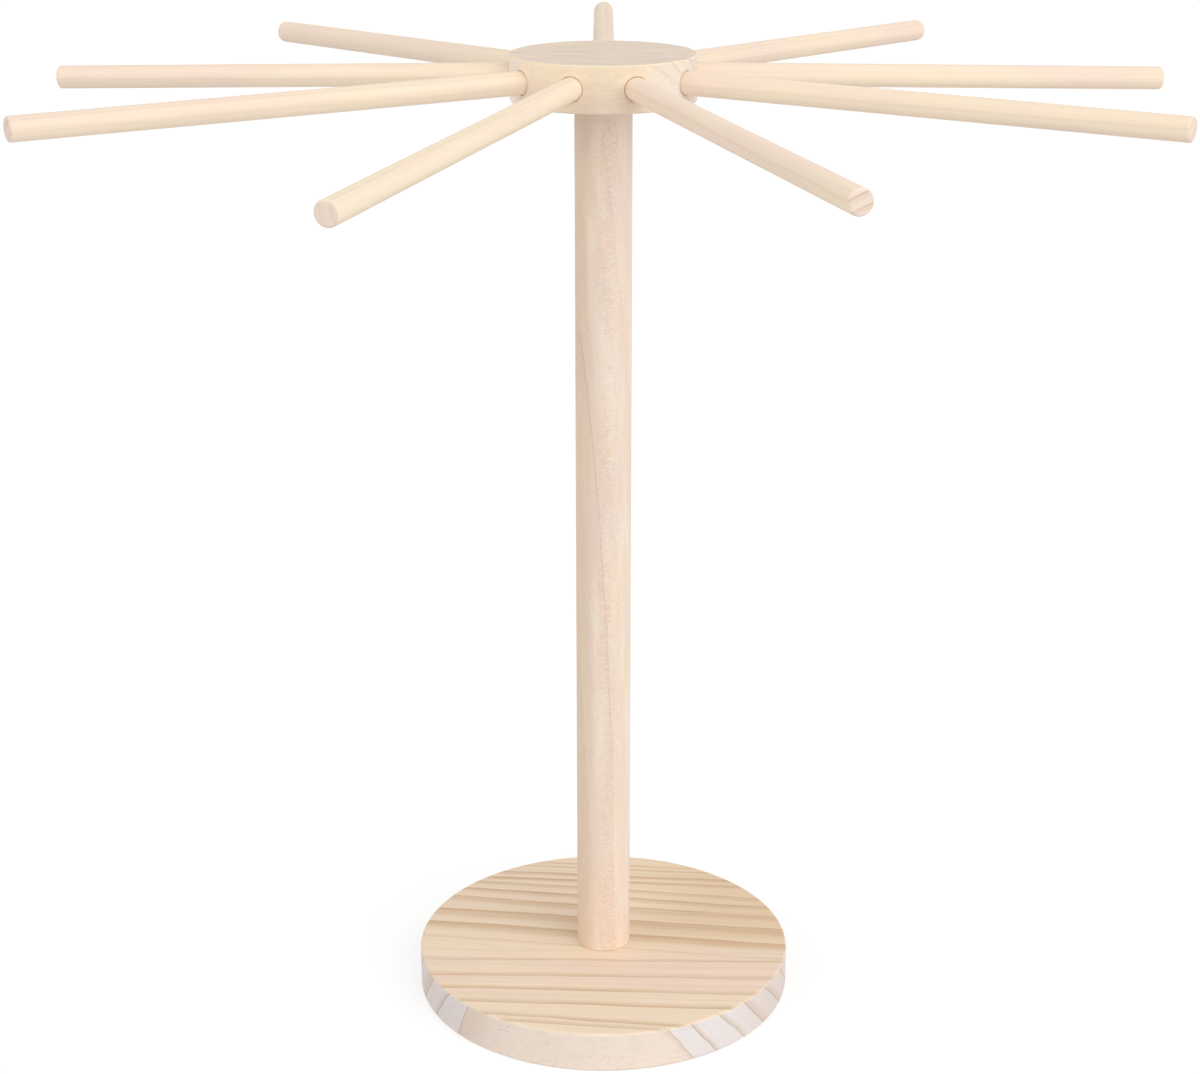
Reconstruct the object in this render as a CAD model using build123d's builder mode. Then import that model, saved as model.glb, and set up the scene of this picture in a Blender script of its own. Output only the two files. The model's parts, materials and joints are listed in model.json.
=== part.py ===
from build123d import *
import os

os.makedirs("parts", exist_ok=True)

# A drying rack of turned wood. A heavy round base carries a round column, and
# the hub on top of the column holds a ring of nearly level arms, each pushed
# into a blind socket in its side. The hub screws onto a stud in the column.
# Lengths are millimetres and +Z is up. The origin is the centre of the base's
# underside, and the front of the rack faces -Y, midway between two arms.

# Base
base_diameter = 176
base_thickness = 19
base_edge_round = 1.2

# Column
column_diameter = 25
column_length = 403
column_edge_break = 0.4

# Hub
hub_diameter = 80
hub_thickness = 20
hub_edge_round = 0.8

# Arms, numbered anticlockwise from the right-hand front one. The sockets are
# bored by hand, so each arm leans down and swings aside by its own few degrees,
# and stands off its socket's floor by its own share of the socket's depth.
arm_count = 9
arm_diameter = 10
arm_length = 226
arm_tip_round = 1.1
arm_end_chamfer = 0.8
socket_depth = 22
arm_leans = (2.1, 0.4, 1.9, 1.1, 0.4, 1.4, 1.8, 0.3, 2.9)
arm_swings = (0, 0, 0, 0, 0, 0, 0, 0, -1.3)
arm_standoff_shares = (0.32, 0.52, 0.32, 0, 0, 0.19, 0.03, 0.63, 0.55)

# Screw threads
bolt_diameter = 6
bolt_pitch = 1
wood_screw_pitch = 2.4
insert_diameter = 10
insert_length = 13
insert_pitch = 2
insert_key_width = 6
insert_key_depth = 3
core_share = 0.82

# Bolt and washer under the base
bolt_head_diameter = 10.5
bolt_head_height = 3.3
bolt_head_round = 1.6
bolt_key_width = 4
bolt_key_depth = 2
bolt_reach = 10.4
washer_diameter = 18
washer_thickness = 1.6
counterbore_depth = 6

# Stud on top of the column
stud_reach = 12
stud_grip = 26
stud_point = 4
stud_end_chamfer = 0.7

# Fits, each measured on the radius, and the overrun of every cut
arm_fit = 0.05
thread_fit = 0.05
glue_gap = 0.05
washer_hole_gap = 0.2
bolt_hole_gap = 0.4
counterbore_gap = 1
hole_end_gap = 0.5
overrun = 1

# Heights and radii that follow from the sizes above
column_top = base_thickness + column_length
arm_height = column_top + hub_thickness / 2
bolt_radius = bolt_diameter / 2
insert_radius = insert_diameter / 2
washer_bottom = counterbore_depth - washer_thickness
arm_step = 360 / arm_count
first_arm_angle = arm_step / 2 - 90


def own(values, number):
    """A numbered arm's own value. The list starts again past its end."""
    return values[(number - 1) % len(values)]


def socket_plane(number):
    """Plane on the floor of a numbered socket, facing out along its arm."""
    turn = first_arm_angle + (number - 1) * arm_step
    mouth = Vector(hub_diameter / 2, 0, arm_height).rotate(Axis.Z, turn)
    leaning = Vector(1, 0, 0).rotate(Axis.Y, own(arm_leans, number))
    outward = leaning.rotate(Axis.Z, turn + own(arm_swings, number))
    return Plane(origin=mouth - outward * socket_depth, z_dir=outward)


def thread_outline(crest_radius, pitch, bottom, top):
    """Points of a screw's side from bottom to top, one ridge for each turn."""
    core_radius = crest_radius * core_share
    turns = int((top - bottom) / pitch)
    points = [(core_radius, bottom)]
    for turn in range(turns):
        crest = bottom + (turn + 1 / 2) * pitch
        points.append((crest_radius, crest))
        points.append((core_radius, crest + pitch / 2))
    if top - points[-1][1] > pitch / 100:
        points.append((core_radius, top))
    return points


# Base: a solid disc of pine, with a stepped hole for the bolt from below
with BuildPart() as base:
    with BuildSketch():
        Circle(base_diameter / 2)
    extrude(amount=base_thickness)
    fillet(base.edges().filter_by(GeomType.CIRCLE), base_edge_round)
    with Locations(-Plane.XY):
        CounterBoreHole(
            bolt_radius + bolt_hole_gap,
            washer_diameter / 2 + counterbore_gap,
            counterbore_depth,
            base_thickness + overrun,
        )
base.part.label = "base"
export_step(base.part, "parts/base.step")

# Washer: spreads the bolt's pull over the floor of the stepped hole
with BuildPart() as base_washer:
    with BuildSketch(Plane.XY.offset(washer_bottom)):
        Circle(washer_diameter / 2)
        Circle(bolt_radius + washer_hole_gap, mode=Mode.SUBTRACT)
    extrude(amount=washer_thickness)
base_washer.part.label = "base_washer"
export_step(base_washer.part, "parts/base_washer.step")

# Base bolt: round head with a six-sided key hole, its shank up into the column
with BuildPart() as base_bolt:
    with BuildSketch(Plane.XY.offset(washer_bottom)):
        Circle(bolt_head_diameter / 2)
    extrude(amount=-bolt_head_height)
    fillet(base_bolt.edges().group_by(Axis.Z)[0], bolt_head_round)
    bolt_tip = base_thickness + bolt_reach
    with BuildSketch(Plane.XZ):
        with BuildLine():
            side = thread_outline(bolt_radius, bolt_pitch, washer_bottom, bolt_tip)
            Polyline((0, washer_bottom), *side, (0, bolt_tip), close=True)
        make_face()
    revolve(axis=Axis.Z)
    with BuildSketch(Plane.XY.offset(washer_bottom - bolt_head_height)):
        RegularPolygon(bolt_key_width / 2, 6, major_radius=False)
    extrude(amount=bolt_key_depth, mode=Mode.SUBTRACT)
base_bolt.part.label = "base_bolt"
export_step(base_bolt.part, "parts/base_bolt.step")

# Column: a plain dowel, bored below for its insert and above for the stud
with BuildPart() as column:
    with BuildSketch(Plane.XY.offset(base_thickness)):
        Circle(column_diameter / 2)
    extrude(amount=column_length)
    chamfer(column.edges().filter_by(GeomType.CIRCLE), column_edge_break)
    with BuildSketch(Plane.XY.offset(base_thickness)):
        Circle(insert_radius + glue_gap)
    extrude(amount=insert_length + hole_end_gap, mode=Mode.SUBTRACT)
    with BuildSketch(Plane.XY.offset(column_top)):
        Circle(bolt_radius + glue_gap)
    extrude(amount=-(stud_grip + hole_end_gap), mode=Mode.SUBTRACT)
column.part.label = "column"
export_step(column.part, "parts/column.step")

# Threaded inserts: one takes the bolt in the column's foot, and one takes the
# stud under the hub. Each has a key hole at its mouth, which faces down.
for label, mouth in (("column_insert", base_thickness), ("hub_insert", column_top)):
    with BuildPart() as insert:
        with BuildSketch(Plane.XZ):
            with BuildLine():
                side = thread_outline(insert_radius, insert_pitch, mouth, mouth + insert_length)
                Polyline((0, mouth), *side, (0, mouth + insert_length), close=True)
            make_face()
        revolve(axis=Axis.Z)
        with BuildSketch(Plane.XY.offset(mouth - overrun)):
            Circle(bolt_radius + thread_fit)
        extrude(amount=insert_length + overrun * 2, mode=Mode.SUBTRACT)
        with BuildSketch(Plane.XY.offset(mouth - overrun)):
            RegularPolygon(insert_key_width / 2 + thread_fit, 6, major_radius=False)
        extrude(amount=insert_key_depth + overrun, mode=Mode.SUBTRACT)
    insert.part.label = label
    export_step(insert.part, f"parts/{label}.step")

# Hub stud: wood thread down in the column, machine thread up into the hub
with BuildPart() as hub_stud:
    grip_bottom = column_top - stud_grip + stud_point
    stud_top = column_top + stud_reach
    with BuildSketch(Plane.XZ):
        with BuildLine():
            lower = thread_outline(bolt_radius, wood_screw_pitch, grip_bottom, column_top)
            upper = thread_outline(
                bolt_radius, bolt_pitch, column_top, stud_top - stud_end_chamfer
            )
            end_radius = bolt_radius * core_share - stud_end_chamfer
            Polyline(
                (0, grip_bottom - stud_point),
                *lower,
                *upper[1:],
                (end_radius, stud_top),
                (0, stud_top),
                close=True,
            )
        make_face()
    revolve(axis=Axis.Z)
hub_stud.part.label = "hub_stud"
export_step(hub_stud.part, "parts/hub_stud.step")

# Hub: a disc with a ring of blind sockets in its side and one hole below
arm_numbers = range(1, arm_count + 1)
with BuildPart() as hub:
    with BuildSketch(Plane.XY.offset(column_top)):
        Circle(hub_diameter / 2)
    extrude(amount=hub_thickness)
    fillet(hub.edges().filter_by(GeomType.CIRCLE), hub_edge_round)
    with BuildSketch(*[socket_plane(number) for number in arm_numbers]):
        Circle(arm_diameter / 2 + arm_fit)
    extrude(amount=socket_depth + overrun, mode=Mode.SUBTRACT)
    with BuildSketch(Plane.XY.offset(column_top)):
        Circle(insert_radius + glue_gap)
    extrude(amount=insert_length + hole_end_gap, mode=Mode.SUBTRACT)
hub.part.label = "hub"
export_step(hub.part, "parts/hub.step")

# Arms: plain dowels, each pushed its own way down into its socket
for number in arm_numbers:
    standoff = socket_depth * own(arm_standoff_shares, number)
    inner_end = socket_plane(number).offset(standoff)
    with BuildPart() as arm:
        with BuildSketch(inner_end):
            Circle(arm_diameter / 2)
        extrude(amount=arm_length)
        along_arm = Axis(inner_end.origin, inner_end.z_dir)
        ends = arm.edges().filter_by(GeomType.CIRCLE).sort_by(along_arm)
        chamfer(ends[0], arm_end_chamfer)
        fillet(ends[-1], arm_tip_round)
    arm.part.label = f"arm_{number}"
    export_step(arm.part, f"parts/arm_{number}.step")
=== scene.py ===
import json
import math

import bmesh
import bpy
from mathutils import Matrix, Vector


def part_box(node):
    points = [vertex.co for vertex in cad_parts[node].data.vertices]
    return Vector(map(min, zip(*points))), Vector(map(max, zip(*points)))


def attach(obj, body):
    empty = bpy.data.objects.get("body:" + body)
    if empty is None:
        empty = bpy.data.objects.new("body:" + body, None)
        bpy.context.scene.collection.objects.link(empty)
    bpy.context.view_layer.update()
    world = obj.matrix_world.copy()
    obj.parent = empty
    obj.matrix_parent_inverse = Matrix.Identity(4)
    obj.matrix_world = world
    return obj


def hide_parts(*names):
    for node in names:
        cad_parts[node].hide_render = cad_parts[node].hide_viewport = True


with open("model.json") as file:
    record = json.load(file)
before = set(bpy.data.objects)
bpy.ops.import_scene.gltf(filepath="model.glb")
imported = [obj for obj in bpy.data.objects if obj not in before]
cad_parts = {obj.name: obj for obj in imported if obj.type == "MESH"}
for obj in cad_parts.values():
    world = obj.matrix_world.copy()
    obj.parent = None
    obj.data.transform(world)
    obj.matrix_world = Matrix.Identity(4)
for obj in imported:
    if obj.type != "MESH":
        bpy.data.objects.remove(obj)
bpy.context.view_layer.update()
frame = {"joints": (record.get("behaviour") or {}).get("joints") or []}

# Camera. It stands a metre in front of the rack and a little above the hub,
# and looks down at it. The small shift sets the rack in the frame as in the
# photograph, with its column a little right of the middle.
camera_lens = bpy.data.cameras.new("camera")
camera_lens.lens = 70.96
camera_lens.sensor_width = 36
camera_lens.shift_x = -0.0029
camera_lens.shift_y = 0.0069
camera = bpy.data.objects.new("camera", camera_lens)
camera.location = (0, -1.0151, 0.5782)
camera.rotation_euler = (math.radians(90 - 19.41), 0, 0)
bpy.context.scene.collection.objects.link(camera)
bpy.context.scene.camera = camera
bpy.context.scene.view_settings.view_transform = "Standard"

# Stage. A pale table in a white room. The table and the room look white to
# the eye and in reflections, but light the wood only as a pale table and a
# soft room would. The table keeps the rack's shadow.
mm = 0.001
floor_drop = 0.2 * mm
floor_half = 40
white = (1, 1, 1, 1)
room_level = 0.55
table_paint = (0.80, 0.80, 0.80, 1)
shaded_paint = (0.45, 0.45, 0.45, 1)
table_glow = 0.62


def put(tree, kind, inputs=None, **settings):
    """Adds a node to a tree. Each input is given a value, or another node's output."""
    node = tree.nodes.new(kind)
    for setting, value in settings.items():
        setattr(node, setting, value)
    for place, value in (inputs or {}).items():
        if isinstance(value, bpy.types.NodeSocket):
            tree.links.new(value, node.inputs[place])
        else:
            node.inputs[place].default_value = value
    return node


def reckon(tree, operation, first, second=0.0, third=0.0, **settings):
    """The result of one sum on numbers."""
    inputs = {0: first, 1: second, 2: third}
    return put(tree, "ShaderNodeMath", inputs, operation=operation, **settings).outputs[0]


def plus(tree, first, second, **settings):
    """Two numbers added up."""
    return reckon(tree, "ADD", first, second, **settings)


def see_or_light(tree, lighting, seen):
    """One shader for the light that a surface gives, and another for the surface
    where the eye, a reflection or glass looks at it."""
    rays = put(tree, "ShaderNodeLightPath").outputs
    looked_at = plus(tree, rays["Is Camera Ray"], rays["Is Glossy Ray"])
    looked_at = plus(tree, looked_at, rays["Is Transmission Ray"], use_clamp=True)
    return put(tree, "ShaderNodeMixShader", {0: looked_at, 1: lighting, 2: seen}).outputs[0]


room = bpy.data.worlds.new("room")
room.use_nodes = True
bpy.context.scene.world = room
sky = room.node_tree
sky.nodes.clear()
sky_shaders = [
    put(sky, "ShaderNodeBackground", {"Color": white, "Strength": strength}).outputs[0]
    for strength in (room_level, 1.0)
]
put(sky, "ShaderNodeOutputWorld", {"Surface": see_or_light(sky, *sky_shaders)})

table = bpy.data.materials.new("table")
table.use_nodes = True
plate = table.node_tree
plate.nodes.clear()
table_lit = put(plate, "ShaderNodeBsdfDiffuse", {"Color": table_paint}).outputs[0]
table_shaded = put(plate, "ShaderNodeBsdfDiffuse", {"Color": shaded_paint}).outputs[0]
table_white = put(plate, "ShaderNodeEmission", {"Color": white, "Strength": table_glow}).outputs[0]
table_seen = put(plate, "ShaderNodeAddShader", {0: table_shaded, 1: table_white}).outputs[0]
put(plate, "ShaderNodeOutputMaterial", {"Surface": see_or_light(plate, table_lit, table_seen)})

floor_corners = [
    (x * floor_half, y * floor_half, -floor_drop) for x, y in ((-1, -1), (1, -1), (1, 1), (-1, 1))
]
floor_mesh = bpy.data.meshes.new("table")
floor_mesh.from_pydata(floor_corners, [], [(0, 1, 2, 3)])
floor_mesh.materials.append(table)
floor = bpy.data.objects.new("table", floor_mesh)
bpy.context.scene.collection.objects.link(floor)

# Two soft lamps: the brighter one high on the right in front, the other on
# the left. They have no fall-off, so the whole table is lit alike.
for lamp_name, lamp_turn, lamp_height, lamp_power, lamp_softness in (
    ("right_lamp", 44, 34, 1.49, 70),
    ("left_lamp", -70, 34, 0.58, 50),
):
    lamp = bpy.data.lights.new(lamp_name, "SUN")
    lamp.energy = lamp_power
    lamp.angle = math.radians(lamp_softness)
    lamp_holder = bpy.data.objects.new(lamp_name, lamp)
    lamp_holder.rotation_euler = (math.radians(90 - lamp_height), 0, math.radians(lamp_turn))
    bpy.context.scene.collection.objects.link(lamp_holder)

# Base. A solid disc turned from one pine board, sanded and left bare. Its year
# rings run from left to right, as fine lines in front and broad bands behind,
# and show as end grain on both sides. A stepped hole below takes the bolt.
_, base_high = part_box("base")
base_radius = base_high.x
base_top = base_high.z
base_round = 1.2 * mm
bolt_hole_radius = 3.4 * mm
counterbore_radius = 10 * mm
counterbore_depth = 6 * mm
counterbore_break = 0.25 * mm
base_segments = 288
turned_edge_angle = math.radians(36)
support_gap = 0.35 * mm
merge_distance = 0.001 * mm


def minus(tree, first, second):
    """The second number taken from the first."""
    return reckon(tree, "SUBTRACT", first, second)


def times(tree, first, second):
    """Two numbers multiplied."""
    return reckon(tree, "MULTIPLY", first, second)


def parts(tree, vector):
    """The X, Y and Z of a vector."""
    return put(tree, "ShaderNodeSeparateXYZ", {0: vector}).outputs


def joined(tree, x, y, z):
    """A vector of three numbers."""
    return put(tree, "ShaderNodeCombineXYZ", {0: x, 1: y, 2: z}).outputs[0]


def new_tree(name, kind, inputs, outputs):
    """A node group with named inputs and outputs, and its input and output nodes."""
    tree = bpy.data.node_groups.new(name, kind)
    for label, socket in inputs:
        tree.interface.new_socket(label, in_out="INPUT", socket_type="NodeSocket" + socket)
    for label, socket in outputs:
        tree.interface.new_socket(label, in_out="OUTPUT", socket_type="NodeSocket" + socket)
    return tree, tree.nodes.new("NodeGroupInput").outputs, tree.nodes.new("NodeGroupOutput").inputs


# The lathe turns an outline, which is a chain of points in the XZ plane, round
# the Z axis. A point may carry the depth and pitch of a screw thread, which
# is cut in from its radius, and may belong to a six-sided hole.
lathe, lathe_in, lathe_out = new_tree(
    "lathe",
    "GeometryNodeTree",
    (
        ("Outline", "Geometry"),
        ("Segments", "Int"),
        ("Merge Distance", "Float"),
        ("Edge Angle", "Float"),
        ("Figure Turn", "Float"),
        ("Figure Shift", "Vector"),
        ("Rotation", "Vector"),
        ("Place", "Vector"),
        ("Material", "Material"),
    ),
    (("Piece", "Geometry"),),
)
lathe_rows = put(lathe, "GeometryNodeAttributeDomainSize", {0: lathe_in["Outline"]}).outputs["Point Count"]
lathe_columns = plus(lathe, lathe_in["Segments"], 1)
lathe_grid = put(lathe, "GeometryNodeMeshGrid", {"Vertices X": lathe_rows, "Vertices Y": lathe_columns})
lathe_index = put(lathe, "GeometryNodeInputIndex").outputs[0]
lathe_row = reckon(lathe, "DIVIDE", plus(lathe, lathe_index, 0.5), lathe_columns)
lathe_row = reckon(lathe, "FLOOR", lathe_row)
lathe_column = minus(lathe, lathe_index, times(lathe, lathe_row, lathe_columns))
lathe_share = reckon(lathe, "DIVIDE", lathe_column, lathe_in["Segments"])
lathe_angle = times(lathe, lathe_share, 2 * math.pi)


def of_outline(value, data_type):
    """A value of the outline's point that the grid's row stands for."""
    inputs = {0: lathe_in["Outline"], 2: lathe_row}
    sample = put(lathe, "GeometryNodeSampleIndex", inputs, data_type=data_type, domain="POINT")
    lathe.links.new(value, sample.inputs[1])
    return sample.outputs[0]


def named_on_outline(name):
    """A named number of the outline's point that the grid's row stands for."""
    named = put(lathe, "GeometryNodeInputNamedAttribute", {"Name": name}, data_type="FLOAT")
    return of_outline(named.outputs[0], "FLOAT")


outline_place = put(lathe, "GeometryNodeInputPosition").outputs[0]
outline_point = parts(lathe, of_outline(outline_place, "FLOAT_VECTOR"))
helix = reckon(lathe, "DIVIDE", outline_point["Z"], named_on_outline("thread_pitch"))
helix = reckon(lathe, "FRACT", minus(lathe, helix, lathe_share))
from_crest = reckon(lathe, "ABSOLUTE", reckon(lathe, "MULTIPLY_ADD", helix, 2, -1))
ridge = reckon(lathe, "POWER", minus(lathe, 1, from_crest), named_on_outline("thread_narrowness"))
cut = times(lathe, named_on_outline("thread_depth"), minus(lathe, 1, ridge))
threaded_radius = minus(lathe, outline_point["X"], cut)
from_flat = reckon(lathe, "MODULO", plus(lathe, lathe_angle, math.pi / 6), math.pi / 3)
from_flat = reckon(lathe, "COSINE", minus(lathe, from_flat, math.pi / 6))
six_sided = minus(lathe, reckon(lathe, "DIVIDE", 1, from_flat), 1)
six_sided = reckon(lathe, "MULTIPLY_ADD", six_sided, named_on_outline("six_sided"), 1)
lathe_radius = times(lathe, threaded_radius, six_sided)
lathe_point = joined(
    lathe,
    times(lathe, lathe_radius, reckon(lathe, "COSINE", lathe_angle)),
    times(lathe, lathe_radius, reckon(lathe, "SINE", lathe_angle)),
    outline_point["Z"],
)
lathe_turned = put(lathe, "GeometryNodeSetPosition", {0: lathe_grid.outputs[0], "Position": lathe_point})
lathe_closed = put(lathe, "GeometryNodeMergeByDistance", {
    0: lathe_turned.outputs[0],
    "Distance": lathe_in["Merge Distance"],
})
figure_place = put(lathe, "ShaderNodeVectorRotate", {
    "Vector": put(lathe, "GeometryNodeInputPosition").outputs[0],
    "Angle": lathe_in["Figure Turn"],
}, rotation_type="Z_AXIS")
figure_place = put(lathe, "ShaderNodeVectorMath", {0: figure_place.outputs[0], 1: lathe_in["Figure Shift"]})
lathe_figured = put(lathe, "GeometryNodeStoreNamedAttribute", {
    0: lathe_closed.outputs[0],
    "Name": "grain_place",
}, data_type="FLOAT_VECTOR", domain="POINT")
lathe.links.new(figure_place.outputs[0], lathe_figured.inputs["Value"])
lathe_smooth = put(lathe, "GeometryNodeSetShadeSmooth", {0: lathe_figured.outputs[0]}, domain="FACE")
edge_angle = put(lathe, "GeometryNodeInputMeshEdgeAngle").outputs["Unsigned Angle"]
lathe_edged = put(lathe, "GeometryNodeSetShadeSmooth", {
    0: lathe_smooth.outputs[0],
    "Selection": reckon(lathe, "GREATER_THAN", edge_angle, lathe_in["Edge Angle"]),
    "Shade Smooth": False,
}, domain="EDGE")
lathe_placed = put(lathe, "GeometryNodeTransform", {
    0: lathe_edged.outputs[0],
    "Translation": lathe_in["Place"],
    "Rotation": lathe_in["Rotation"],
})
lathe_real = put(lathe, "GeometryNodeRealizeInstances", {0: lathe_placed.outputs[0]})
lathe_done = put(lathe, "GeometryNodeSetMaterial", {
    0: lathe_real.outputs[0],
    "Material": lathe_in["Material"],
})
lathe.links.new(lathe_done.outputs[0], lathe_out[0])


def turn_piece(name, outline, material, segments, **values):
    """Turns an outline on the lathe, and returns the piece as a plain mesh object.
    An outline point is its radius and height, and may go on with a thread's depth,
    pitch and narrowness, and 1 for a point of a six-sided hole."""
    chain = bpy.data.meshes.new(name + "_outline")
    chain.from_pydata([(point[0], 0, point[1]) for point in outline], [], [])
    extras = (("thread_depth", 0.0), ("thread_pitch", mm), ("thread_narrowness", 1.0), ("six_sided", 0.0))
    for number, (label, plain) in enumerate(extras, 2):
        row = [float(point[number]) if len(point) > number else plain for point in outline]
        chain.attributes.new(label, "FLOAT", "POINT").data.foreach_set("value", row)
    piece = bpy.data.objects.new(name, chain)
    bpy.context.scene.collection.objects.link(piece)
    turning = piece.modifiers.new("lathe", "NODES")
    turning.node_group = lathe
    values = {
        "Segments": segments,
        "Merge Distance": merge_distance,
        "Edge Angle": turned_edge_angle,
        "Material": material,
        **values,
    }
    for socket in lathe.interface.items_tree:
        if socket.name in values:
            turning[socket.identifier] = values[socket.name]
    turned = piece.evaluated_get(bpy.context.evaluated_depsgraph_get())
    finished = bpy.data.meshes.new_from_object(turned)
    piece.modifiers.clear()
    piece.data = finished
    finished.name = name
    bpy.data.meshes.remove(chain)
    return piece


def rounded(centre_radius, centre_height, size, start, end, steps=7):
    """Outline points round an edge, from one angle to another, in degrees."""
    angles = [math.radians(start + (end - start) * step / steps) for step in range(steps + 1)]
    return [(centre_radius + size * math.cos(a), centre_height + size * math.sin(a)) for a in angles]


base_outline = [
    (bolt_hole_radius, counterbore_depth),
    (counterbore_radius - support_gap, counterbore_depth),
    (counterbore_radius, counterbore_depth),
    (counterbore_radius, counterbore_depth - support_gap),
    (counterbore_radius, counterbore_break),
    (counterbore_radius + counterbore_break, 0),
    (counterbore_radius + counterbore_break + support_gap, 0),
    (base_radius / 2, 0),
    (base_radius - base_round - support_gap, 0),
    *rounded(base_radius - base_round, base_round, base_round, -90, 0),
    (base_radius, base_round + support_gap),
    (base_radius, base_top / 2),
    (base_radius, base_top - base_round - support_gap),
    *rounded(base_radius - base_round, base_top - base_round, base_round, 0, 90),
    (base_radius - base_round - support_gap, base_top),
    (base_radius * 2 / 3, base_top),
    (base_radius / 3, base_top),
    (bolt_hole_radius, base_top),
    (bolt_hole_radius, base_top / 2),
    (bolt_hole_radius, counterbore_depth),
]


def paint(red, green, blue):
    """A colour as a screen shows it, each part from 0 to 255, in linear values."""
    shares = [part / 255 for part in (red, green, blue)]
    return tuple(p / 12.92 if p <= 0.04045 else ((p + 0.055) / 1.055) ** 2.4 for p in shares) + (1.0,)


def new_finish(name):
    """A material, with its tree and its Principled shader."""
    finish = bpy.data.materials.new(name)
    finish.use_nodes = True
    return finish, finish.node_tree, finish.node_tree.nodes["Principled BSDF"]


def grade(tree, value, low, high, to_low=0.0, to_high=1.0, way="SMOOTHSTEP"):
    """A number brought from one range to another, and held at its ends."""
    inputs = {0: value, 1: low, 2: high, 3: to_low, 4: to_high}
    return put(tree, "ShaderNodeMapRange", inputs, interpolation_type=way).outputs[0]


def lay_coats(tree, tone, coats):
    """Colours laid one over another. A coat is its mask, its share and its colour."""
    for mask, share, colour in coats:
        inputs = {0: times(tree, mask, share), 6: tone, 7: colour}
        tone = put(tree, "ShaderNodeMix", inputs, data_type="RGBA").outputs[2]
    return tone


def scaled(tree, vector, amount):
    """A place or a colour with each part multiplied by one number."""
    return put(tree, "ShaderNodeVectorMath", {0: vector, 3: amount}, operation="SCALE").outputs[0]


def stretch(tree, vector, sizes):
    """A place divided by a pattern's size along each axis."""
    return put(tree, "ShaderNodeVectorMath", {0: vector, 1: sizes}, operation="DIVIDE").outputs[0]


def cloud(tree, vector, sizes, detail=2.0, roughness=0.5):
    """Soft noise from 0 to 1, with blobs of a given size along each axis."""
    inputs = {
        "Vector": stretch(tree, vector, sizes),
        "Scale": 1.0,
        "Detail": detail,
        "Roughness": roughness,
    }
    return put(tree, "ShaderNodeTexNoise", inputs).outputs[0]


def sway(tree, vector, sizes, width, detail=2.0, roughness=0.5):
    """Soft noise of a given width, half of it on each side of zero."""
    noise = cloud(tree, vector, sizes, detail, roughness)
    return reckon(tree, "MULTIPLY_ADD", noise, width, -width / 2)


# One year ring where it meets a surface: a crisp brown line, and behind it the
# band of summer wood, which fades as it goes away from the line.
ring_tree, ring_in, ring_out = new_tree(
    "year_ring",
    "ShaderNodeTree",
    (("Past", "Float"), ("Band Width", "Float"), ("Depth", "Float")),
    (("Band", "Float"), ("Line", "Float")),
)
ring_edge = times(ring_tree, grade(ring_tree, ring_in["Past"], -0.35, 0.35), ring_in["Depth"])
fade_start = times(ring_tree, ring_in["Band Width"], 0.25)
ring_fade = grade(ring_tree, ring_in["Past"], fade_start, ring_in["Band Width"], 1.0, 0.0)
ring_core = grade(ring_tree, ring_in["Past"], 0.25, 1.5, 1.0, 0.0)
ring_tree.links.new(times(ring_tree, ring_edge, ring_fade), ring_out["Band"])
ring_tree.links.new(times(ring_tree, ring_edge, ring_core), ring_out["Line"])

# Wood fibre, with the grain along X: fine streaks, broad clouds of tone, short
# flecks where pores are cut lengthways, and dots where they are cut across.
fibre_tree, fibre_in, fibre_out = new_tree(
    "wood_fibre",
    "ShaderNodeTree",
    (("Place", "Vector"), ("Streak Length", "Float"), ("Streak Width", "Float")),
    (("Streak", "Float"), ("Cloud", "Float"), ("Fleck", "Float"), ("Pore", "Float")),
)
fibre_place = fibre_in["Place"]
streak_width = fibre_in["Streak Width"]
streak_sizes = joined(fibre_tree, fibre_in["Streak Length"], streak_width, streak_width)
fibre_streak = cloud(fibre_tree, fibre_place, streak_sizes, 4.0, 0.62)
fibre_cloud = cloud(fibre_tree, fibre_place, (110 * mm, 16 * mm, 16 * mm))
fleck = cloud(fibre_tree, fibre_place, (3.2 * mm, 0.34 * mm, 0.34 * mm), 1.0)
pore_place = stretch(fibre_tree, fibre_place, (9 * mm, 0.42 * mm, 0.42 * mm))
pore = put(fibre_tree, "ShaderNodeTexVoronoi", {"Vector": pore_place, "Scale": 1.0}).outputs["Distance"]
for fibre_mask, fibre_value in (
    ("Streak", fibre_streak),
    ("Cloud", fibre_cloud),
    ("Fleck", grade(fibre_tree, fleck, 0.60, 0.74)),
    ("Pore", grade(fibre_tree, pore, 0.34, 0.14)),
):
    fibre_tree.links.new(fibre_value, fibre_out[fibre_mask])


def put_group(tree, group, inputs):
    """A shader group placed in a material, and its outputs."""
    return put(tree, "ShaderNodeGroup", inputs, node_tree=group).outputs


def put_fibre(tree, place, streak_length, streak_width):
    """Wood fibre placed in a material, with the size of its streaks in millimetres."""
    return put_group(tree, fibre_tree, {
        "Place": place,
        "Streak Length": streak_length * mm,
        "Streak Width": streak_width * mm,
    })


def put_rings(tree, across, along, rings, fineness=1.0):
    """Year rings on a surface, as masks of their bands and of their lines. A ring has
    its place across the surface, its lean, how wide its band is and how deep its
    colour. With a width below zero the band lies on the ring's other side."""
    masks = [0.0, 0.0]
    for place, lean, width, depth in rings:
        edge = reckon(tree, "MULTIPLY_ADD", along, lean, place)
        past = times(tree, minus(tree, across, edge), math.copysign(fineness, width))
        ring = put_group(tree, ring_tree, {
            "Past": past,
            "Band Width": abs(width) * fineness,
            "Depth": depth,
        })
        masks = [reckon(tree, "MAXIMUM", ring[number], mask) for number, mask in enumerate(masks)]
    return masks


def in_millimetres(tree, place):
    """A place in millimetres, and its three parts."""
    vector = scaled(tree, place, 1 / mm)
    return vector, parts(tree, vector)


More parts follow.
